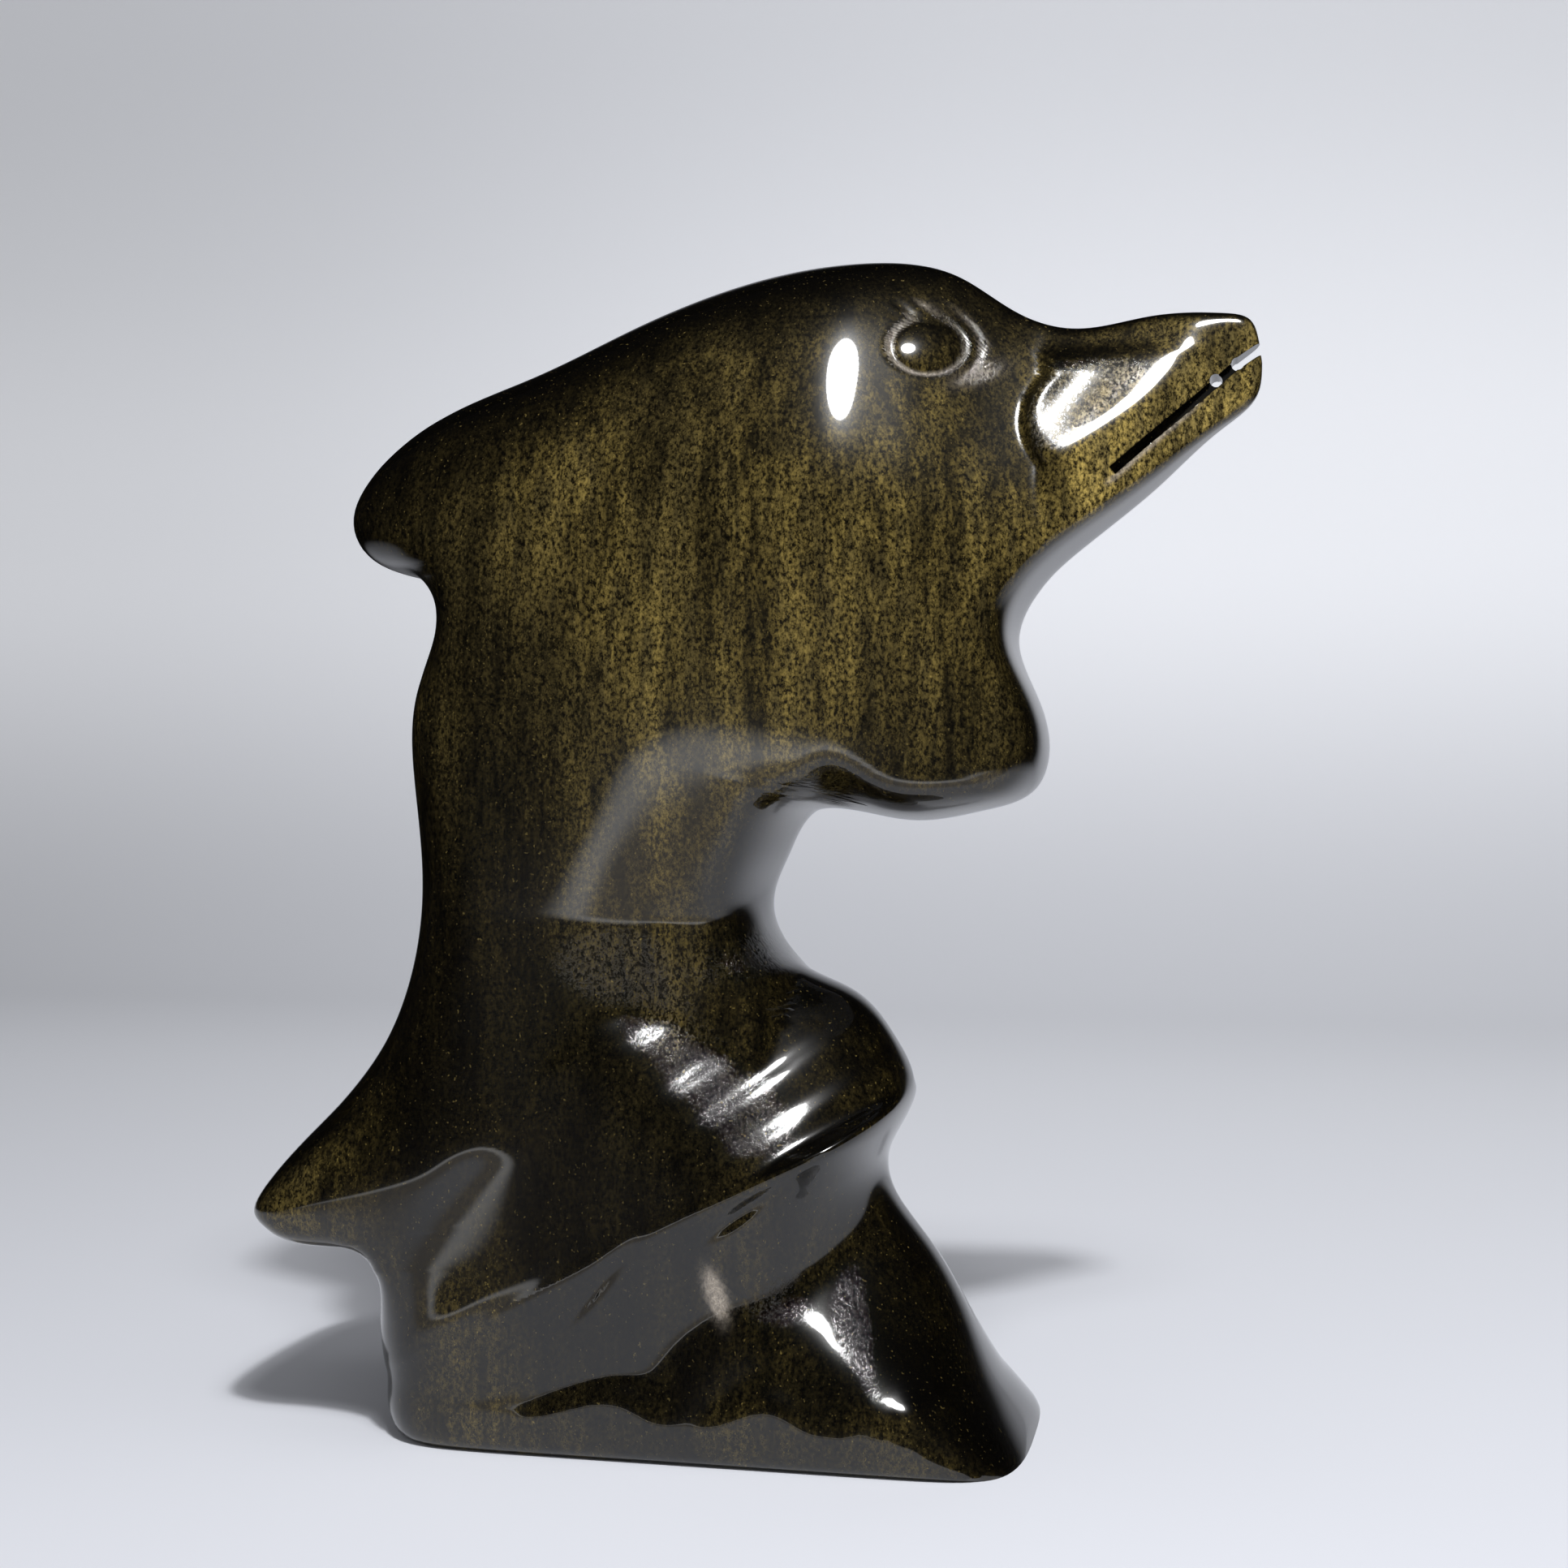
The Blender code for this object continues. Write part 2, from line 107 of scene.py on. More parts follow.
# The belly of the outline, from the foot to the tip of the lower jaw
BELLY = (
    (21.1, 0.0, 2.5, 3.0),      # foot
    (18.8, 3.4, 5.0, 2.2),
    (16.5, 8.0, 6.5, 2.0),
    (13.6, 12.9, 6.0, 2.0),
    (10.7, 18.4, 3.6, 2.0),     # under the crest
    (12.0, 21.2, 3.5, 2.0),
    (12.6, 23.6, 4.5, 2.0),     # crest of the wave
    (11.5, 26.5, 5.0, 2.0),
    (8.7, 29.8, 4.5, 2.0),
    (4.3, 32.0, 3.2, 2.0),
    (2.2, 35.7, 2.6, 2.1),      # belly
    (3.3, 39.2, 2.4, 2.1),
    (5.2, 42.1, 2.2, 2.0),
    (8.6, 42.4, 1.5, 2.0),      # under the flipper
    (13.0, 41.7, 1.4, 2.0),
    (17.6, 42.4, 1.4, 2.2),
    (20.9, 43.8, 1.8, 2.2),
    (21.8, 46.0, 1.6, 2.4),     # flipper tip
    (21.0, 50.3, 1.6, 2.4),
    (19.6, 54.4, 1.2, 3.0),     # throat
    (20.9, 57.6, 0.7, 4.0),
    (24.5, 60.9, 0.5, 4.6),
    (29.4, 64.6, 0.5, 4.6),
    (33.5, 68.0, 0.5, 4.0),
    (35.8, 70.1, 0.9, 2.6),
    (36.1, 72.2, 0.9, 2.2),     # tip of the lower jaw
)

# Which point of the back faces which point of the belly across a rib
FACING = (
    (0, 0.0),
    (1, 0.8),
    (2, 1.7),
    (2.6, 2.4),
    (3, 3.2),
    (3.5, 4.2),
    (4, 5.0),
    (5, 5.6),
    (6, 6.2),
    (7, 6.7),
    (8, 7.2),
    (9, 7.9),
    (10, 8.8),
    (11, 9.9),
    (12, 11.0),
    (12.9, 12.3),
    (13.2, 14.0),
    (13.5, 15.6),
    (13.8, 17.2),
    (14.2, 18.8),
    (14.7, 20.0),
    (15.3, 20.6),
    (16, 20.9),
    (17, 21.0),
    (20, 21.1),
    (23, 21.2),
    (24, 21.4),
    (25, 21.8),
    (26, 22.3),
    (27, 23.0),
    (28, 24.0),
    (30, 25.0),
)

# The carving, in units. Each line runs from its first point to its second.
CREST = ((-17.3, 6.8), (14.2, 24.1))         # edge of the wave's rolled crest
FOLDS = (                                    # risers across the roll, with depth
    ((-8.6, 26.6), (-1.0, 32.4), 0.30),
    ((-4.6, 26.9), (1.5, 31.6), 0.34),
    ((-1.4, 24.2), (4.7, 28.9), 0.36),
    ((0.9, 22.4), (7.0, 26.9), 0.36),
    ((3.0, 20.4), (9.0, 24.4), 0.34),
)
SLITS = (                                    # grooves under the crest, with depth
    ((-9.1, 8.1), (-2.6, 16.0), 0.28),
    ((0.7, 14.7), (5.9, 18.5), 0.50),
)
FAN_TOP = (12.1, 19.6)                       # where the skirt's flutes draw together
FAN_FEET = (-15.0, -1.4, 9.3, 14.2, 18.8, 21.6)   # x of the ridges between them, at the foot
TAIL_RIDGE = ((-31.3, 14.4), (-13.8, 19.2))  # fullest line of the tail
BEAK_RIDGE = ((21.5, 64.3), (30.0, 70.5))    # top edge of the jaw's side
MOUTH = ((26.3, 64.5), (33.1, 70.9))         # from the corner of the mouth to its hole
JAW_TIP = (34.5, 72.0)                       # second hole, where the jaws part
JAW_WAY = (0.004, 0, 0.0028)                 # from there out past the tip, in metres
MOUTH_REACH = 0.008                          # depth of the mouth line's cutter, in metres
EYE = (14.35, 73.3)
EYE_STRETCH = 1.16                           # how much wider than high the eye is
EYE_UP = (0.75, 0.66)                        # direction up and right, towards its socket
EYE_BOSS = 1.75                              # radii of the boss, the ring and the socket
EYE_RING = 2.02
EYE_SOCKET = 2.8
EYE_RIB = 7.9                                # x at the back of the rib that crosses the eye
EYE_SHARE = 0.38                             # where on that rib the eye lies
SCUFF = (17.6, 71.4)                         # bruise under the eye
CHIP = (1.4, 11.1)                           # chip in the wave
FLANK_FOOT = 35.2                            # height below which the flank falls back
ROLL_HEIGHTS = (4.0, 34.0)                   # lowest and highest part of the wave's roll
CREST_COSINE = 0.877                         # of the crest's slope
ACROSS_ROLL = (0.731, 0.682)                 # direction up and right, near the grooves' own
WAVE_TOP = 42
LEAST_HALF = 1.1                             # least half thickness
SOFTNESS = 0.15                              # of the joints between the carving's parts

# The grid of points
TURN_REACH = 2.0             # length of outline that gets as many ribs as one radian of turn
EYE_CROWD = 4.0              # how many ribs cross the eye, over and above each even one
EYE_PULL = 0.08              # how far the points of a rib crowd towards the eye
LEAST_SINE = 0.3             # of the angle at which a rib is taken to meet the outline
WIDEST_RIM = 0.36            # share of a rib's width that each rim may take
RIM_SPREAD = 1.15            # power that draws a rim's points towards its edge
OUTLINE_STEPS = 2400         # steps along the outline when ribs are spread
OUTLINE_RIBS = 420           # ribs whose ends give the outline for distances
CLOSING = 2.6                # how fast the faces close on each other at the outline
TUCK = 0.36                  # how far the foot's edge steps in, as a share of its height
SHARP_ANGLE = math.radians(38)


def natural_spline(knots, values, where):
    """Natural cubic spline: on each span, two cubic bend terms and a straight line."""
    count = len(knots)
    spans = np.diff(knots)
    slope = np.diff(values, axis=0) / spans[:, None]
    system = np.eye(count)
    right = np.zeros_like(values)
    for i in range(1, count - 1):
        before, after = spans[i - 1:i + 1]
        system[i, i - 1:i + 2] = before, 2 * (before + after), after
        right[i] = 6 * (slope[i] - slope[i - 1])
    bend = np.linalg.solve(system, right)
    at = np.clip(np.searchsorted(knots, where, side="right") - 1, 0, count - 2)
    low = (where - knots[at])[:, None]
    high = (knots[at + 1] - where)[:, None]
    gap = spans[at][:, None]
    curve = (bend[at] * high ** 3 + bend[at + 1] * low ** 3) / (6 * gap)
    line = (values[at] / gap - bend[at] * gap / 6) * high
    return curve + line + (values[at + 1] / gap - bend[at + 1] * gap / 6) * low


def outline_curve(points, index):
    """Spline through an outline's points at fractional point numbers; rims vary in line."""
    table = np.array(points, dtype=float)
    spread = np.linalg.norm(np.diff(table[:, :2], axis=0), axis=1)
    knots = np.concatenate(([0.0], np.cumsum(spread)))
    where = np.interp(index, np.arange(len(table)), knots)
    place = natural_spline(knots, table[:, :2], where)
    rims = np.stack([np.interp(where, knots, table[:, k]) for k in (2, 3)], axis=1)
    return place, rims


def travel(line):
    """Length of each stretch of a line, plus a reach for each radian that it turns."""
    way = np.diff(line, axis=0)
    heading = np.unwrap(np.arctan2(way[:, 1], way[:, 0]))
    return np.linalg.norm(way, axis=1) + TURN_REACH * np.abs(np.gradient(heading))


def rib_ends(count, head_share=0.0):
    """Ends of count ribs, evenly spread by travel; head_share packs more of them on the eye."""
    facing = np.array(FACING, dtype=float)
    fine = np.linspace(0, len(facing) - 1, OUTLINE_STEPS)
    order = np.arange(len(facing))
    back_index = np.interp(fine, order, facing[:, 0])
    belly_index = np.interp(fine, order, facing[:, 1])
    back_line = outline_curve(BACK, back_index)[0]
    way = travel(back_line) + travel(outline_curve(BELLY, belly_index)[0])
    way *= 1 + head_share * bell(back_line[1:, 0] - EYE_RIB, 4) * step(back_line[1:, 1] - 70, 2)
    length = np.concatenate(([0.0], np.cumsum(way)))
    even = np.linspace(0, length[-1], count)
    back = outline_curve(BACK, np.interp(even, length, back_index))
    belly = outline_curve(BELLY, np.interp(even, length, belly_index))
    return back, belly


def step(value, width):
    """Smooth step from 0 to 1: half of one plus the hyperbolic tangent."""
    return 0.5 * (1 + np.tanh(value / width))


def ramp(value, width):
    """Zero below nought and the value above it, joined by a logarithm of an exponential."""
    return width * np.logaddexp(0, value / width)


def bell(value, width):
    """Bump of height 1: the exponential of minus the square."""
    return np.exp(-(value / width) ** 2)


def beside(x, z, start, end):
    """Place along a line from start (0) to end (1), and distance to its left."""
    way = np.subtract(end, start)
    length = math.hypot(*way)
    dx, dz = x - start[0], z - start[1]
    along = (dx * way[0] + dz * way[1]) / length ** 2
    return along, (dz * way[0] - dx * way[1]) / length


def across_roll(x, z):
    """Distance up and right across the wave's roll."""
    return ACROSS_ROLL[0] * x + ACROSS_ROLL[1] * z


def climb(z):
    """How far the surface must have fallen back at a height to mirror nothing pale."""
    return 0.1863 * z - 0.00247 * z ** 2


def valley(x, z):
    """Distance to the left of the valley between tail and wave, an exponential curve."""
    return -0.87 * (x + 14.6 + 7 * (1 - np.exp(-ramp(19.6 - z, 0.3) / 6.5)))


def crease(z):
    """Place along the beak where it leaves the cheek: a parabola of the height, cut off."""
    return 20.7 + 0.12 * np.minimum((z - 68.2) ** 2, 10)


def body_depth(x, z):
    """Dolphin's relief: a flat flank, ramps for the thinner head, and a square for the waist."""
    # Flank and tail
    _, above = beside(x, z, *TAIL_RIDGE)
    left = step(valley(x, z), 1.2)
    low = np.minimum(z, FLANK_FOOT)
    depth = left * 1.7 * np.exp(-0.08 * ramp(above, 0.3)) - 1.7
    depth += (1 - left) * (climb(FLANK_FOOT) - climb(low))
    # Fuller head, which thins towards the beak
    depth += 1.5 * step(z - 58, 8) * step(x + 2, 7)
    taper = 0.12 * ramp(x - 24.5, 1.2) - 0.12 * ramp(x - 30.3, 0.8)
    depth -= (0.47 * ramp(x - 14.6, 5.3) - taper) * step(z - 42, 2.5)
    # Face that falls back as it rises, and less so past the crease, on the beak
    fall = 0.33 * ramp(z - 62.5, 2.2) + 0.005 * ramp(z - 64, 1.0) ** 2
    lift = 0.8 * fall + 0.9 * step(z - 63.5, 4) * (1 - 0.5 * step(x - 30, 2))
    reach = 0.55 + 2.5 * step(z - 73, 0.7)
    depth += lift * (1 - np.exp(-ramp(x - crease(z), 0.15) / reach)) - fall
    # Cheek
    cheek = 0.9 * step(x - 10.3, 2.3) + 1.6 * step(x - 15.2, 3.5)
    depth -= cheek * bell(z - 71, np.where(z < 71, 13, 40))
    # Waist, back fin's root and a dent in the waist
    waist = ramp(52 - 0.36 * ramp(x - 1, 1) - np.maximum(z, FLANK_FOOT), 1.5)
    depth -= 0.0085 * waist ** 2 * step(x + 5.6, 3.5)
    depth -= 0.25 * ramp(-15 - x, 2) * step(z - 56, 3)
    depth -= 0.7 * bell(x - 4.0, 1.2) * bell(z - 40.6, 2.0)
    # Underside of the flipper
    edge = 43.6 + 2.0 * bell(x - 8.6, 2.6) + 0.9 * step(x - 20.3, 0.8)
    depth -= 1.4 * ramp(edge - z, 0.25) * step(x - 5.6, 1.1)
    return depth


def tail_depth(x, z):
    """Tail's relief: a slope that falls away below its ridge."""
    _, above = beside(x, z, *TAIL_RIDGE)
    return -0.04 * ramp(-above, 0.5) * step(z - 8.0, 3) * step(-x - 11, 1.5)


def beak_depth(x, z):
    """Upper jaw's relief: scooped back above the ridge, by a capped ramp."""
    _, above = beside(x, z, *BEAK_RIDGE)
    scoop = 2.6 - ramp(2.6 - 0.5 * ramp(above, 0.4), 0.4)
    scoop *= 1 - np.exp(-ramp(x - crease(z) - 0.2, 0.15) / (0.85 + 2 * step(z - 73, 0.7)))
    return -scoop * (1 - step(x - 30.8, 1.6))


def fan_share(x, z):
    """Share of the way across a flute of the skirt, its width, and how far down it the place is.

    The flutes spread in straight lines from the fan's top to their feet.
    """
    drop = np.clip((FAN_TOP[1] - z) / FAN_TOP[1], 0.05, 1)
    foot = FAN_TOP[0] + (x - FAN_TOP[0]) / (0.45 + 0.55 * drop)
    feet = np.array(FAN_FEET)
    number = np.clip(np.searchsorted(feet, foot) - 1, 0, len(feet) - 2)
    width = feet[number + 1] - feet[number]
    return np.clip((foot - feet[number]) / width, 0, 1), width, drop


def skirt_depth(x, z):
    """Skirt: flutes that are squared sines across, an exponential spoon and an upright foot."""
    share, width, drop = fan_share(x, z)
    arch = np.sin(np.pi * share) ** 2
    foot = 2.4 + 2.1 * arch
    lean = 0.17 * ramp(z - foot, 0.35) - 0.05 * ramp(z - 12, 1.0)
    fan = ramp(z + 0.51 * x - 13.2, 1.2)
    spoon = 5.2 * (1 - np.exp(-fan / 4)) * step(x + 1, 2.5)
    flute = 0.17 * width * drop * arch * (0.35 + 0.65 * step(fan - 1.5, 3))
    flute *= step(z - foot - 0.6, 0.8)
    swell = 0.7 * bell(x - 14.1, 1) * bell(z - 4, 1.3)
    return swell - lean - spoon - flute


def wave_depth(x, z):
    """Wave's relief: a roll that falls back as it rises, an undercut, and a fluted skirt."""
    along, above = beside(x, z, *CREST)
    # Roll over the crest, with its grooves
    edge = np.clip(z - above / CREST_COSINE, *ROLL_HEIGHTS)
    roll = climb(edge) - climb(np.clip(z, edge, ROLL_HEIGHTS[1]))
    roll -= 0.62 * ramp(across_roll(x, z) - 15.8, 1.7)
    for start, end, deep in FOLDS:
        reach, side = beside(x, z, start, end)
        roll -= deep * step(side, 0.5) * step(reach + 0.1, 0.2)
    # Undercut, steeper to the right, with its slits
    steep = 0.10 + 0.12 * step(along - 0.37, 0.07) + 1.0 * step(along - 0.70, 0.10)
    under = steep * above
    for start, end, deep in SLITS:
        reach, side = beside(x, z, start, end)
        under -= deep * bell(side, 0.5) * bell(reach - 0.5, 0.42)
    # The fuller of undercut and skirt
    skirt = skirt_depth(x, z)
    soft = SOFTNESS + 0.45 * step(along - 0.62, 0.08)
    low = soft * np.logaddexp(under / soft, skirt / soft)
    left = 0.3 * ramp(valley(x, z), 0.6)
    return roll * step(above, 0.45) + np.minimum(low, 0) * step(-above, 0.45) - left


def eye_place(x, z):
    """Distance from the middle of the eye, measured on an ellipse, and how far up and right."""
    dx, dz = x - EYE[0], z - EYE[1]
    return np.hypot(dx / EYE_STRETCH, dz), EYE_UP[0] * dx + EYE_UP[1] * dz


def eye_relief(x, z):
    """Eye: a ring groove and half a socket, bells of the distance, and a boss, a parabola."""
    away, turned = eye_place(x, z)
    ring = -0.13 * bell(away - EYE_RING, 0.2)
    socket = -0.12 * bell(away - EYE_SOCKET, 0.3) * step(turned, 0.5)
    return ring + socket + 0.3 * np.maximum(0, 1 - (away / EYE_BOSS) ** 2)


def face_depth(x, z, half):
    """Half thickness: the softened greater of the body's and the wave's relief, plus half."""
    _, above = beside(x, z, *CREST)
    body = body_depth(x, z) + tail_depth(x, z) + beak_depth(x, z)
    body -= 4 * step(-above - 0.6, 0.8)
    wave = wave_depth(x, z) - 20 * step(z - WAVE_TOP, 2)
    relief = SOFTNESS * np.logaddexp(body / SOFTNESS, wave / SOFTNESS)
    return LEAST_HALF + ramp(half + relief - LEAST_HALF, 0.35) + eye_relief(x, z)


def edge_distance(x, z, outline):
    """Smooth distance to the outline: each stretch pulls with the inverse cube of its distance."""
    start, end = outline[:-1], outline[1:]
    way = end - start
    length = np.linalg.norm(way, axis=1)
    way = way / length[:, None]
    total = np.zeros_like(x)
    for k in range(len(start)):
        dx, dz = x - start[k, 0], z - start[k, 1]
        along = dx * way[k, 0] + dz * way[k, 1]
        across = np.maximum(np.abs(dx * way[k, 1] - dz * way[k, 0]), 1e-4)
        far = length[k] - along
        total += (far / np.hypot(far, across) + along / np.hypot(along, across)) / across ** 2
    return np.sqrt(2 / np.maximum(total, 1e-9))


def figure_grid(size, ribs, face_steps, rim_steps):
    """Front half of the surface, one row of points for each rib.

    Along a rib the points run from back to belly, closer round the rims. Each point's depth is
    the face's half thickness times a closing that falls to nothing at the outline.
    """
    unit = size.height / UNITS_TALL
    half = size.thickness / 2 / unit
    (back, back_rim), (belly, belly_rim) = rib_ends(ribs, EYE_CROWD)
    across = belly - back
    width = np.linalg.norm(across, axis=1)
    chord = across / width[:, None]

    def slant(line):
        """Sine of the angle between an outline and the ribs that end on it."""
        way = np.gradient(line, axis=0)
        way /= np.linalg.norm(way, axis=1)[:, None] + 1e-12
        return np.abs(way[:, 0] * chord[:, 1] - way[:, 1] * chord[:, 0])

    back_reach, belly_reach = (
        np.minimum(rim[:, 0] / np.maximum(slant(line), LEAST_SINE), WIDEST_RIM * width)
        for line, rim in ((back, back_rim), (belly, belly_rim)))
    turn = (1 - np.cos(np.linspace(0, np.pi / 2, rim_steps + 1))) ** RIM_SPREAD
    middle = np.linspace(0, 1, face_steps + 1)[1:-1]
    crowd = np.sin(2 * np.pi * (middle - EYE_SHARE)) + np.sin(2 * np.pi * EYE_SHARE)
    middle -= EYE_PULL * crowd
    left = back_reach[:, None] * turn
    right = width[:, None] - belly_reach[:, None] * turn[::-1]
    span = (width - back_reach - belly_reach)[:, None]
    place = np.concatenate((left, back_reach[:, None] + span * middle, right), axis=1)
    share = place / width[:, None]
    x = back[:, :1] + across[:, :1] * share
    z = back[:, 1:] + across[:, 1:] * share
    blend = share ** 2 * (3 - 2 * share)
    rim = back_rim[:, :1] * (1 - blend) + belly_rim[:, :1] * blend
    power = back_rim[:, 1:] * (1 - blend) + belly_rim[:, 1:] * blend

    (line_a, _), (line_b, _) = rib_ends(OUTLINE_RIBS)
    below = np.array([[0.0, -40.0]])        # the foot is cut straight, so the outline goes on
    outline = np.concatenate((line_a[:1] + below, line_a, line_b[::-1], line_b[:1] + below))
    distance = edge_distance(x, z, outline)
    closing = (1 - np.exp(-CLOSING * distance / rim)) ** (1 / power)
    y = -face_depth(x, z, half) * closing
    y[:, 0] = y[:, -1] = y[-1] = 0.0

    # The foot's edge is a quarter ellipse.
    low = np.clip(1 - z * unit / size.foot_edge, 0, 1)
    tuck = (1 - np.sqrt(1 - low ** 2)) * size.foot_edge * TUCK / unit
    y += tuck * np.clip(-y / half, 0, 1)
    x += tuck * np.where(share < 0.5, 1.8, -0.1) * (1 - np.clip(closing, 0, 1) ** 6)
    return np.stack((x, y, z), axis=2) * unit


def gold_and_painted_sheen(x, z):
    """How golden the stone is at a place, by smooth steps: darkest round the wave, with a painted
    sheen that brightens the beak and the tail's tip, and painted shade along the back and top of
    the head.
    """
    upper = 0.17 + 0.83 * step(z - 38 - 0.3 * (x + 5), 6)
    # Painted shade: darker at the back and top of the head, where its face turns away; a little
    # darker right of the middle.
    left = 1 - 0.45 * step(-x - 11 + 0.45 * np.maximum(z - 60, 0), 5) - 0.2 * step(x - 3, 3)
    # Painted light brightens the tail's tip, where it catches the lamp; the low part under the tail
    # is brighter too.
    tail = 0.7 * step(-x - 25.5, 2.5) * step(26 - z, 4)
    tail += 0.3 * step(-x - 13, 4) * step(12 - z, 4)
    foot = 0.22 * step(3.5 - z, 1.5)
    roll = 0.12 * step(x + 9, 3) * step(34 - z, 3) * step(z - 10, 3)
    # Painted shade: darker along the top edge of the head's back, where the face turns up.
    top = step(3.8 - 0.87 * (72.2 + 0.55 * (x + 10.2) - z), 1.5) * step(-x, 3)
    # Painted sheen: the beak, past x 25, is brightened where it catches the lamp.
    return upper * left * (1 - 0.7 * top) * (1 + 2.2 * step(x - 25, 3)) + tail + foot + roll


def painted_sheen_by_tilt(grid):
    """How upright the surface stands at each point, from 0 to 1; the share paints the stone's
    sheen, gold on upright faces and dark where they turn up.

    The cross product of the grid's two directions gives the normal. The share falls to
    nothing as the normal's upward part grows, and as it turns towards the slab's edge.
    """
    normal = np.cross(np.gradient(grid, axis=1), np.gradient(grid, axis=0))
    normal /= np.linalg.norm(normal, axis=2)[..., None] + 1e-15
    upward = normal[..., 2]
    share = 1 - step(upward - 0.52, 0.12)
    share *= 0.25 + 0.75 * np.clip(-normal[..., 1], 0, 1) ** 2
    return share


def worn_share(x, z):
    """How little the stone is polished at a place: bells and steps round its grooves."""
    _, above = beside(x, z, *BEAK_RIDGE)
    scoop = step(above - 1.7 + 0.7 * step(24.5 - x, 0.8), 0.4)
    scoop *= step(x - crease(z), 0.4) * step(72.2 - z, 0.6)
    scoop *= 0.8 * step(27.5 - x, 1.2)
    folds = 0.5 * bell(across_roll(x, z) - 17.5, 1.8) * step(30 - z, 2)
    _, over = beside(x, z, *CREST)
    folds *= step(over - 1.5, 0.8)
    flutes = 0.6 * bell(x - 4.8, 1.6) * bell(z - 10.6, 1.6)
    flutes += 0.35 * bell(x - 10.3 + 0.25 * (z - 9), 0.9) * bell(z - 9, 3.5)
    waist = 0.5 * (bell(x + 6, 2.5) + bell(x - 2, 2.2)) * bell(z - 32.4, 1.5)
    ring = bell(eye_place(x, z)[0] - EYE_RING - 0.03, 0.2)
    return np.clip(scoop + folds + flutes + waist + ring, 0, 1)


def chalk_share(x, z):
    """Where the stone is bruised pale: the eye's ring, a scuff under it, the lip and a chip."""
    away, turned = eye_place(x, z)
    ring = 0.6 * bell(away - EYE_RING - 0.04, 0.13) * (1 - 0.7 * step(turned, 0.6))
    ring += 0.3 * bell(away - EYE_SOCKET - 0.15, 0.14) * step(turned - 1, 0.5)
    dx, dz = x - SCUFF[0], z - SCUFF[1]
    scuff = 0.3 * bell(0.42 * dx - 0.91 * dz, 0.6) * bell(0.91 * dx + 0.42 * dz, 1.5)
    along, side = beside(x, z, *MOUTH)
    lip = 0.7 * bell(side + 0.42, 0.16) * step(along + 0.05, 0.03) * step(0.75 - along, 0.1)
    chip = bell(x - CHIP[0] + 0.25 * (z - CHIP[1]), 0.42) * bell(z - CHIP[1], 1.15)
    return np.clip(ring + scuff + lip + 2.5 * chip, 0, 1)


def closed_skin(name, grid, values):
    """Mesh of the front half, its mirror image and the foot between them.

    Points that the halves share lie in the middle plane and are welded by their place. Each
    named row of values goes into the mesh as an attribute of its points.
    """
    rows, columns = grid.shape[:2]
    count = rows * columns
    number = np.arange(count).reshape(rows, columns)
    quads = np.stack((number[:-1, :-1], number[:-1, 1:], number[1:, 1:], number[1:, :-1]), axis=2)
    quads = quads.reshape(-1, 4)
    near = number[0, 1:-1]
    foot = np.stack((near[:-1], near[:-1] + count, near[1:] + count, near[1:]), axis=1)
    ends = np.array(((number[0, 0], near[0] + count, near[0]),
                     (near[-1], near[-1] + count, number[0, -1])))
    points = np.concatenate((grid.reshape(-1, 3), (grid * (1, -1, 1)).reshape(-1, 3)))
    _, keep, home = np.unique(np.round(points, 9), axis=0, return_index=True, return_inverse=True)
    home = home.reshape(-1)
    faces = home[np.concatenate((quads, quads[:, ::-1] + count, foot))].tolist()
    mesh = bpy.data.meshes.new(name)
    mesh.from_pydata(points[keep], [], faces + home[ends].tolist())
    mesh.update()
    mesh.polygons.foreach_set("use_smooth", np.ones(len(mesh.polygons), bool))
    for label, value in values.items():
        layer = mesh.attributes.new(label, "FLOAT", "POINT")
        layer.data.foreach_set("value", np.tile(value.reshape(-1), 2)[keep].astype(np.float32))
    return mesh


def cut_box(name, start, end, out, gap, deep):
    """Box with one face on the line from start to end, reaching deep towards out."""
    along = (end - start).normalized()
    thin = along.cross(out).normalized()
    away = thin.cross(along)
    middle = (start + end) / 2 + away * deep / 2
    turn = Matrix((along, away, thin)).transposed().to_4x4()
    size = Matrix.Diagonal(((end - start).length, deep, gap, 1))
    bpy.ops.mesh.primitive_cube_add(size=1)
    cutter = bpy.context.object
    cutter.name = name
    cutter.matrix_world = Matrix.Translation(middle) @ turn @ size
    return cutter


def mouth_cutters(size):
    """Wedge for each face's mouth line, rods for the two holes and block that parts the jaws."""
    unit = size.height / UNITS_TALL

    def spot(place, y):
        """Point at a drawn place and at a depth."""
        return Vector((place[0] * unit, y, place[1] * unit))

    cutters = []
    for side in (1, -1):
        start = spot(MOUTH[0], -size.mouth_floor * side)
        end = spot(JAW_TIP, -size.mouth_wall * side)
        out = Vector((0, -side, 0))
        cutters.append(cut_box("mouth_line", start, end, out, size.mouth_gap, MOUTH_REACH))
    for place in (MOUTH[1], JAW_TIP):
        bpy.ops.mesh.primitive_cylinder_add(
            vertices=32, radius=size.mouth_hole / 2, depth=size.thickness,
            location=spot(place, 0), rotation=(math.pi / 2, 0, 0))
        cutters.append(bpy.context.object)
    root = spot(JAW_TIP, -size.thickness / 2)
    tip = root + Vector(JAW_WAY)
    out = Vector((0, 1, 0))
    cutters.append(cut_box("jaw_parting", root, tip, out, size.jaw_gap, size.thickness))
    return cutters


def cut_away(piece, cutters):
    """Take each cutter out of the piece for good, and delete the cutters."""
    for cutter in cutters:
        cut = piece.modifiers.new("Cut", "BOOLEAN")
        cut.operation = "DIFFERENCE"
        cut.solver = "EXACT"
        cut.object = cutter
    bpy.context.view_layer.update()
    graph = bpy.context.evaluated_depsgraph_get()
    mesh = bpy.data.meshes.new_from_object(piece.evaluated_get(graph))
    piece.modifiers.clear()
    piece.data = mesh
    mesh.set_sharp_from_angle(angle=SHARP_ANGLE)
    for cutter in cutters:
        bpy.data.objects.remove(cutter)


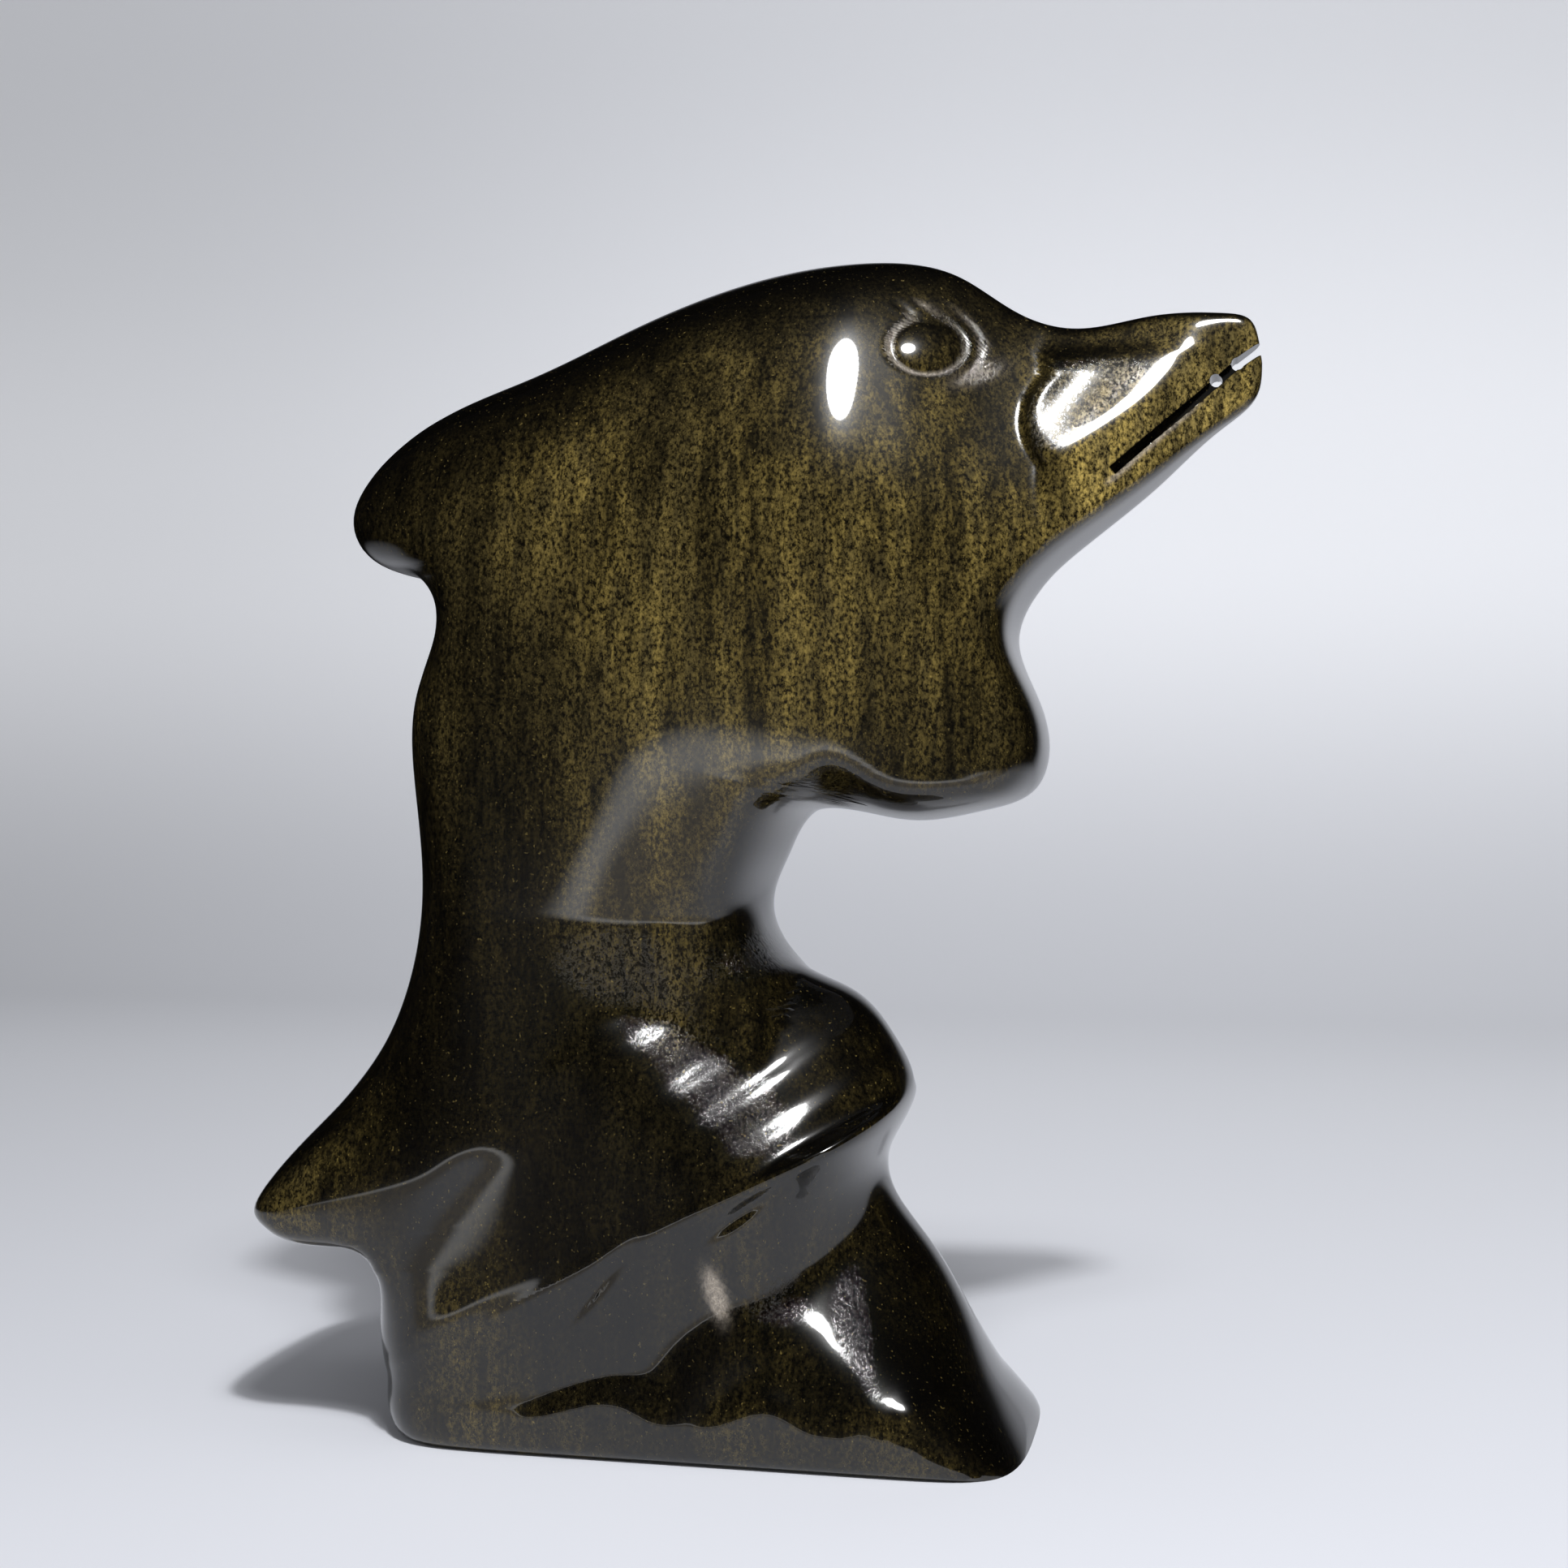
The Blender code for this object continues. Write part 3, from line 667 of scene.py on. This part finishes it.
# Stone. Each noise has a scale along each axis, per metre, a detail, a roughness and an offset.
PATCHES = ((95, 95, 34), 2.0, 0.5, (3.1, 0.4, 1.7))
STREAKS = ((420, 420, 60), 3.0, 0.55, (0.3, 7.7, 2.2))
FINE_STREAKS = ((1500, 1500, 260), 2.0, 0.6, (5.5, 1.2, 0.1))
SPECKS = ((4200, 4200, 2900), 4.0, 0.75, (0, 0, 0))
GLINTS = ((5200, 5200, 4200), 1.0, 0.5, (2.9, 3.3, 9.1))
STONE_IOR = 1.5
WORN_ROUGHNESS = 0.50
COAT_WEIGHT = 0.4
COAT_ROUGHNESS = 0.22
BUMP_HEIGHT = 0.00005        # metres


def socketed_group(name, inputs, outputs):
    """New shader node group with the named sockets, its input node and its output node."""
    tree = bpy.data.node_groups.new(name, "ShaderNodeTree")
    for label, kind in inputs:
        tree.interface.new_socket(name=label, in_out="INPUT", socket_type=kind)
    for label, kind in outputs:
        tree.interface.new_socket(name=label, in_out="OUTPUT", socket_type=kind)
    return tree, tree.nodes.new("NodeGroupInput"), tree.nodes.new("NodeGroupOutput")


def wire(tree, source, target):
    """Link an output socket to an input socket, or set the input to a plain value."""
    if isinstance(source, bpy.types.NodeSocket):
        tree.links.new(source, target)
    else:
        target.default_value = source


def arithmetic(tree, operation, *values, clamp=False):
    """Math node with its values wired or set; gives its output."""
    node = tree.nodes.new("ShaderNodeMath")
    node.operation = operation
    node.use_clamp = clamp
    for socket, value in zip(node.inputs, values):
        wire(tree, value, socket)
    return node.outputs[0]


def mapped(tree, value, low, high, new_low=0.0, new_high=1.0):
    """Map Range node, smoothed and clamped; gives its output."""
    node = tree.nodes.new("ShaderNodeMapRange")
    node.interpolation_type = "SMOOTHSTEP"
    wire(tree, value, node.inputs["Value"])
    node.inputs["From Min"].default_value = low
    node.inputs["From Max"].default_value = high
    node.inputs["To Min"].default_value = new_low
    node.inputs["To Max"].default_value = new_high
    return node.outputs["Result"]


def stretched_noise(tree, place, scale, detail, rough, offset):
    """Noise of places that are first scaled along each axis; gives its value."""
    turn = tree.nodes.new("ShaderNodeMapping")
    wire(tree, place, turn.inputs["Vector"])
    turn.inputs["Scale"].default_value = scale
    turn.inputs["Location"].default_value = offset
    noise = tree.nodes.new("ShaderNodeTexNoise")
    noise.inputs["Scale"].default_value = 1.0
    noise.inputs["Detail"].default_value = detail
    noise.inputs["Roughness"].default_value = rough
    tree.links.new(turn.outputs[0], noise.inputs["Vector"])
    return noise.outputs["Fac"]


def mixed_colour(tree, share, first, second):
    """Mix node for colours; gives its output."""
    node = tree.nodes.new("ShaderNodeMix")
    node.data_type = "RGBA"
    wire(tree, share, node.inputs[0])
    wire(tree, first, node.inputs[6])
    wire(tree, second, node.inputs[7])
    return node.outputs[2]


def point_value(tree, label):
    """Attribute node for a value that the mesh holds at its points; gives its output."""
    node = tree.nodes.new("ShaderNodeAttribute")
    node.attribute_name = label
    return node.outputs["Fac"]


def gold_sheen_group():
    """Colour and grain of gold-sheen stone: patches, upright streaks, specks and glints."""
    tree, given, result = socketed_group(
        "Gold sheen stone",
        (("Place", "NodeSocketVector"), ("Sheen", "NodeSocketFloat"), ("Gold", "NodeSocketColor"),
         ("Olive", "NodeSocketColor"), ("Dark", "NodeSocketColor")),
        (("Color", "NodeSocketColor"), ("Grain", "NodeSocketFloat")))
    place = given.outputs["Place"]
    patch, streak, fine, speck, glint = (
        stretched_noise(tree, place, *noise)
        for noise in (PATCHES, STREAKS, FINE_STREAKS, SPECKS, GLINTS))
    tone = arithmetic(tree, "MULTIPLY", mapped(tree, patch, 0.34, 0.62, 0.3, 1.0),
                      mapped(tree, fine, 0.30, 0.62, 0.2, 1.0))
    base = mixed_colour(tree, tone, given.outputs["Olive"], given.outputs["Gold"])
    level = arithmetic(tree, "ADD", mapped(tree, streak, 0.34, 0.66, 0.42, 1.15),
                       mapped(tree, fine, 0.25, 0.75, -0.22, 0.22))
    level = arithmetic(tree, "MULTIPLY", level, mapped(tree, patch, 0.36, 0.62, 0.5, 1.25))
    level = arithmetic(tree, "MULTIPLY", level, mapped(tree, speck, 0.36, 0.70, 0.05, 2.7))
    # Painted sheen: the gold is scaled by the sheen share that the mesh holds, dark where faces
    # turn up.
    level = arithmetic(tree, "MULTIPLY", level, given.outputs["Sheen"])
    # Painted glints: rare bright specks added over the colour, even where the sheen is dark.
    level = arithmetic(tree, "ADD", level, mapped(tree, glint, 0.68, 0.80, 0, 1.6))
    shade = tree.nodes.new("ShaderNodeVectorMath")
    shade.operation = "SCALE"
    wire(tree, base, shade.inputs[0])
    wire(tree, level, shade.inputs["Scale"])
    total = tree.nodes.new("ShaderNodeVectorMath")
    total.operation = "ADD"
    tree.links.new(shade.outputs[0], total.inputs[0])
    wire(tree, given.outputs["Dark"], total.inputs[1])
    tree.links.new(total.outputs[0], result.inputs["Color"])
    wire(tree, speck, result.inputs["Grain"])
    return tree


def polished_stone(finish):
    """Stone with a mirror polish; its gold is a painted sheen, shown where its faces stand upright.
    """
    material = bpy.data.materials.new("polished_stone")
    material.use_nodes = True
    tree = material.node_tree
    shader = tree.nodes["Principled BSDF"]
    place = tree.nodes.new("ShaderNodeTexCoord").outputs["Object"]
    sheen, worn, chalk = (point_value(tree, label) for label in ("sheen", "worn", "chalk"))
    stone = tree.nodes.new("ShaderNodeGroup")
    stone.node_tree = gold_sheen_group()
    wire(tree, place, stone.inputs["Place"])
    wire(tree, sheen, stone.inputs["Sheen"])
    stone.inputs["Gold"].default_value = (*finish.gold, 1)
    stone.inputs["Olive"].default_value = (*finish.olive, 1)
    stone.inputs["Dark"].default_value = (*finish.dark, 1)
    grain = stone.outputs["Grain"]
    pale = mapped(tree, grain, 0.30, 0.62, 0.35, 1.1)
    pale = arithmetic(tree, "MULTIPLY", chalk, pale, clamp=True)
    colour = mixed_colour(tree, pale, stone.outputs["Color"], (*finish.bruise, 1))
    wire(tree, colour, shader.inputs["Base Color"])
    dull = arithmetic(tree, "MAXIMUM", arithmetic(tree, "MULTIPLY", worn, 0.75), chalk)
    dull = arithmetic(tree, "MULTIPLY", dull, mapped(tree, grain, 0.46, 0.60, 0.06, 1.0))
    rough = mapped(tree, dull, 0.0, 1.0, finish.roughness, WORN_ROUGHNESS)
    wire(tree, rough, shader.inputs["Roughness"])
    shader.inputs["IOR"].default_value = STONE_IOR
    shader.inputs["Coat Weight"].default_value = COAT_WEIGHT
    shader.inputs["Coat Roughness"].default_value = COAT_ROUGHNESS
    shader.inputs["Coat IOR"].default_value = STONE_IOR
    bump = tree.nodes.new("ShaderNodeBump")
    bump.inputs["Strength"].default_value = 1.0
    bump.inputs["Distance"].default_value = BUMP_HEIGHT
    wire(tree, arithmetic(tree, "MULTIPLY", dull, grain), bump.inputs["Height"])
    wire(tree, bump.outputs["Normal"], shader.inputs["Normal"])
    return material


SHADED_TABLE = (0.54, 0.50, 0.46, 1)     # the table before the figurine, as the polish mirrors it
# painted shade: the table far out in front, and in the polish far to the sides and high up
PAINTED_FAR_SHADE = (0.01, 0.01, 0.01, 1)
# colour of the table's painted glow
GLOW = (0.96, 0.975, 1.0, 1)


def pale_sweep(colour):
    """Matte table, painted dark far out in front as shade; as painted light it glows a little where
    it turns up behind, and more near its front edge.

    Places are in metres. Where the polish mirrors it, it is painted dark far to the sides and high
    up, as shade.
    """
    material = bpy.data.materials.new("pale_sweep")
    material.use_nodes = True
    tree = material.node_tree
    shader = tree.nodes["Principled BSDF"]
    place = tree.nodes.new("ShaderNodeTexCoord").outputs["Object"]
    apart = tree.nodes.new("ShaderNodeSeparateXYZ")
    tree.links.new(place, apart.inputs[0])
    seen = tree.nodes.new("ShaderNodeLightPath").outputs["Is Camera Ray"]
    # Pale part: near, and in the polish neither far to the sides nor high up; elsewhere the table
    # is painted dark as shade.
    side = mapped(tree, arithmetic(tree, "ABSOLUTE", apart.outputs["X"]), 0.25, 0.10)
    side = arithmetic(tree, "MULTIPLY", side, mapped(tree, apart.outputs["Z"], 0.45, 0.25))
    side = arithmetic(tree, "MAXIMUM", side, seen)
    near = arithmetic(tree, "MULTIPLY", mapped(tree, apart.outputs["Y"], -0.45, -0.26), side)
    # Colour, with painted shade that makes it duller and warmer in front as the polish mirrors it
    mirrored_shade = arithmetic(tree, "MULTIPLY", mapped(tree, apart.outputs["Y"], -0.045, -0.09),
                      arithmetic(tree, "SUBTRACT", 1.0, seen))
    tint = mixed_colour(tree, mirrored_shade, (*colour, 1), SHADED_TABLE)
    tint = mixed_colour(tree, near, PAINTED_FAR_SHADE, tint)
    wire(tree, tint, shader.inputs["Base Color"])
    shader.inputs["Roughness"].default_value = 0.8
    shader.inputs["IOR"].default_value = 1.2
    # Painted light: glow of the back, less to the left and high up, and of the front edge, a
    # painted pool of lamp light.
    back = arithmetic(tree, "ADD", mapped(tree, apart.outputs["Z"], 0.0, 0.11, 0, 0.30),
                      mapped(tree, apart.outputs["Y"], -0.05, 0.20, 0, 0.15))
    right = mapped(tree, apart.outputs["X"], -0.30, 0.02, 0.72, 1.0)
    high = mapped(tree, apart.outputs["Z"], 0.13, 0.27, 1.0, 0.66)
    back = arithmetic(tree, "MULTIPLY", back, arithmetic(tree, "MULTIPLY", right, high))
    back = arithmetic(tree, "MULTIPLY", back, mapped(tree, seen, 0, 1, 0.4, 1))
    front = mapped(tree, apart.outputs["Y"], -0.15, -0.24, 0, 1.7)
    glow = arithmetic(tree, "MULTIPLY", arithmetic(tree, "ADD", back, front), near)
    shader.inputs["Emission Color"].default_value = GLOW
    wire(tree, glow, shader.inputs["Emission Strength"])
    return material


# Settings, pieces and stage


class FigurineSizes(bpy.types.PropertyGroup):
    """Sizes of the figurine."""

    height: bpy.props.FloatProperty(
        name="Height", description="From the foot to the top of the head",
        default=PACKED_HEIGHT, unit="LENGTH")
    thickness: bpy.props.FloatProperty(
        name="Thickness", description="Across the slab, where the wave is fullest",
        default=0.0246, unit="LENGTH")
    foot_edge: bpy.props.FloatProperty(
        name="Foot edge", description="How far up the rounding of the foot's edge reaches",
        default=0.0026, unit="LENGTH")
    mouth_gap: bpy.props.FloatProperty(
        name="Mouth gap", description="Width of the mouth line",
        default=0.00058, unit="LENGTH")
    jaw_gap: bpy.props.FloatProperty(
        name="Jaw gap", description="Opening between the jaws at the tip",
        default=0.0007, unit="LENGTH")
    mouth_floor: bpy.props.FloatProperty(
        name="Mouth floor",
        description="From the middle plane to the mouth line's floor, at its corner",
        default=0.0037, unit="LENGTH")
    mouth_wall: bpy.props.FloatProperty(
        name="Mouth wall", description="Stone left each side of the middle where the jaws part",
        default=0.0006, unit="LENGTH")
    mouth_hole: bpy.props.FloatProperty(
        name="Mouth hole", description="Diameter of the two holes at the front of the mouth",
        default=0.00082, unit="LENGTH")
    ribs: bpy.props.IntProperty(
        name="Ribs", description="Rows of points from foot to beak", default=410)
    face_steps: bpy.props.IntProperty(
        name="Face steps", description="Steps across each face between its rims", default=92)
    rim_steps: bpy.props.IntProperty(
        name="Rim steps", description="Steps round each rim", default=13)


class FigurineFinish(bpy.types.PropertyGroup):
    """Colours of the stone and its surroundings."""

    gold: bpy.props.FloatVectorProperty(
        name="Gold", description="Stone where its sheen is strongest",
        default=(0.083, 0.061, 0.0165), subtype="COLOR")
    olive: bpy.props.FloatVectorProperty(
        name="Olive", description="Stone where its sheen is dull",
        default=(0.040, 0.031, 0.0115), subtype="COLOR")
    dark: bpy.props.FloatVectorProperty(
        name="Dark", description="Stone with no sheen",
        default=(0.0012, 0.0010, 0.0007), subtype="COLOR")
    bruise: bpy.props.FloatVectorProperty(
        name="Bruise", description="Stone where it is bruised or chipped",
        default=(0.46, 0.40, 0.33), subtype="COLOR")
    roughness: bpy.props.FloatProperty(
        name="Roughness", description="Roughness of the polish", default=0.035)
    table: bpy.props.FloatVectorProperty(
        name="Table", description="Colour of the table", default=(0.80, 0.82, 0.885),
        subtype="COLOR")


class FIGURINE_OT_carve(bpy.types.Operator):
    """Carve the dolphin and its wave, and polish them."""

    bl_idname = "figurine.carve"
    bl_label = "Carve the figurine"

    def execute(self, context):
        size = context.scene.figurine_sizes
        grid = figure_grid(size, size.ribs, size.face_steps, size.rim_steps)
        share = size.height / PACKED_HEIGHT
        grid = np.clip(grid, np.multiply(CAD_LOW, share), np.multiply(CAD_HIGH, share))
        x, z = grid[..., 0] * UNITS_TALL / size.height, grid[..., 2] * UNITS_TALL / size.height
        # The sheen attribute paints the stone's sheen: gold on upright faces, brighter on the beak
        # and the tail's tip, dark where faces turn up.
        values = {"sheen": painted_sheen_by_tilt(grid) * gold_and_painted_sheen(x, z),
                  "worn": worn_share(x, z), "chalk": chalk_share(x, z)}
        skin = closed_skin("carved_dolphin", grid, values)
        figure = bpy.data.objects.new("carved_dolphin", skin)
        context.scene.collection.objects.link(figure)
        figure.data.materials.append(polished_stone(context.scene.figurine_finish))
        cut_away(figure, mouth_cutters(size))
        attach(figure, "root")
        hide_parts(NODE)
        return {"FINISHED"}


TABLE = (1.2, -0.45, 0.27, 0.20, 1.1)        # half width, front, back, radius and wall
LAMP_TARGET = (0.06, 0.06, 0)
LAMPS = (                                    # name, place, width and power
    ("key_lamp", (0.085, -0.178, 0.305), 0.022, 0.62),
    ("lamp_bowl", (0.085, -0.1785, 0.3055), 0.084, 0.48),
)
SEEN_ROOM = (0.62, 0.63, 0.66, 1)
SOFT_ROOM = (0.28, 0.28, 0.285, 1)
DARK_ROOM = (0.006, 0.006, 0.007, 1)
CAMERA_PLACE = (0.03528, -0.1491, 0.0442)
CAMERA_TURN = (math.pi / 2, 0, math.radians(12))
CAMERA_SENSOR = 36                           # millimetres, as is the lens
CAMERA_LENS = 50.31
CAMERA_NEAR = 0.005


def sweep_mesh(name, half_width, front, back, radius, wall):
    """Table that turns up into a wall: a straight run, a quarter circle and a straight run."""
    turn = np.linspace(0, np.pi / 2, 25)
    y = np.concatenate(([front, 0.0], back + radius * np.sin(turn), [back + radius + 0.001]))
    z = np.concatenate(([0.0, 0.0], radius * (1 - np.cos(turn)), [wall]))
    x = np.array((-half_width, half_width))
    points = np.stack(np.broadcast_arrays(x[None, :], y[:, None], z[:, None]), axis=2)
    number = np.arange(points.shape[0] * 2).reshape(-1, 2)
    quads = np.stack((number[:-1, 0], number[:-1, 1], number[1:, 1], number[1:, 0]), axis=1)
    mesh = bpy.data.meshes.new(name)
    mesh.from_pydata(points.reshape(-1, 3), [], quads.tolist())
    mesh.update()
    mesh.polygons.foreach_set("use_smooth", np.ones(len(mesh.polygons), bool))
    return mesh


def surroundings(world):
    """Pale to the camera and to matte surfaces, and dark where the polish mirrors it."""
    world.use_nodes = True
    tree = world.node_tree
    tree.nodes.clear()
    path = tree.nodes.new("ShaderNodeLightPath")

    def either(ray, first, second):
        """Mix of two shaders by the kind of ray; gives its output."""
        mix = tree.nodes.new("ShaderNodeMixShader")
        for socket, source in zip(mix.inputs, (path.outputs[ray], first, second)):
            tree.links.new(source, socket)
        return mix.outputs[0]

    def glow(colour):
        """Even background of a colour; gives its output."""
        node = tree.nodes.new("ShaderNodeBackground")
        node.inputs["Color"].default_value = colour
        return node.outputs[0]

    unseen = either("Is Glossy Ray", glow(SOFT_ROOM), glow(DARK_ROOM))
    out = tree.nodes.new("ShaderNodeOutputWorld")
    tree.links.new(either("Is Camera Ray", unseen, glow(SEEN_ROOM)), out.inputs["Surface"])


def add_lamp(name, place, width, power):
    """Round soft lamp at a place, turned to the target."""
    light = bpy.data.lights.new(name, "AREA")
    light.shape = "DISK"
    light.size = width
    light.energy = power
    lamp = bpy.data.objects.new(name, light)
    lamp.location = place
    way = Vector(LAMP_TARGET) - Vector(place)
    lamp.rotation_euler = way.to_track_quat("-Z", "Y").to_euler()
    bpy.context.scene.collection.objects.link(lamp)


class FIGURINE_OT_stage(bpy.types.Operator):
    """Set the table, the lamps, the surroundings and the camera."""

    bl_idname = "figurine.stage"
    bl_label = "Set the stage"

    def execute(self, context):
        scene = context.scene
        finish = scene.figurine_finish
        table = bpy.data.objects.new("table", sweep_mesh("table", *TABLE))
        scene.collection.objects.link(table)
        table.data.materials.append(pale_sweep(finish.table))
        for lamp in LAMPS:
            add_lamp(*lamp)
        if scene.world is None:
            scene.world = bpy.data.worlds.new("Studio")
        surroundings(scene.world)
        lens = bpy.data.cameras.new("camera")
        lens.sensor_width = CAMERA_SENSOR
        lens.lens = CAMERA_LENS
        lens.clip_start = CAMERA_NEAR
        camera = bpy.data.objects.new("camera", lens)
        camera.location = CAMERA_PLACE
        camera.rotation_euler = CAMERA_TURN
        scene.collection.objects.link(camera)
        scene.camera = camera
        scene.view_settings.view_transform = "Standard"
        return {"FINISHED"}


class FIGURINE_PT_panel(bpy.types.Panel):
    """Sizes, colours and steps of the figurine."""

    bl_idname = "FIGURINE_PT_panel"
    bl_label = "Figurine"
    bl_space_type = "VIEW_3D"
    bl_region_type = "UI"
    bl_category = "Figurine"

    def draw(self, context):
        for group in (context.scene.figurine_sizes, context.scene.figurine_finish):
            for name in group.__annotations__:
                self.layout.prop(group, name)
        self.layout.operator(FIGURINE_OT_carve.bl_idname)
        self.layout.operator(FIGURINE_OT_stage.bl_idname)


CLASSES = (FigurineSizes, FigurineFinish, FIGURINE_OT_carve, FIGURINE_OT_stage, FIGURINE_PT_panel)


def register():
    for item in CLASSES:
        bpy.utils.register_class(item)
    bpy.types.Scene.figurine_sizes = bpy.props.PointerProperty(type=FigurineSizes)
    bpy.types.Scene.figurine_finish = bpy.props.PointerProperty(type=FigurineFinish)


def unregister():
    del bpy.types.Scene.figurine_finish
    del bpy.types.Scene.figurine_sizes
    for item in reversed(CLASSES):
        bpy.utils.unregister_class(item)


def main():
    """Register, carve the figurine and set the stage."""
    register()
    bpy.ops.figurine.carve()
    bpy.ops.figurine.stage()


if __name__ == "__main__":
    main()
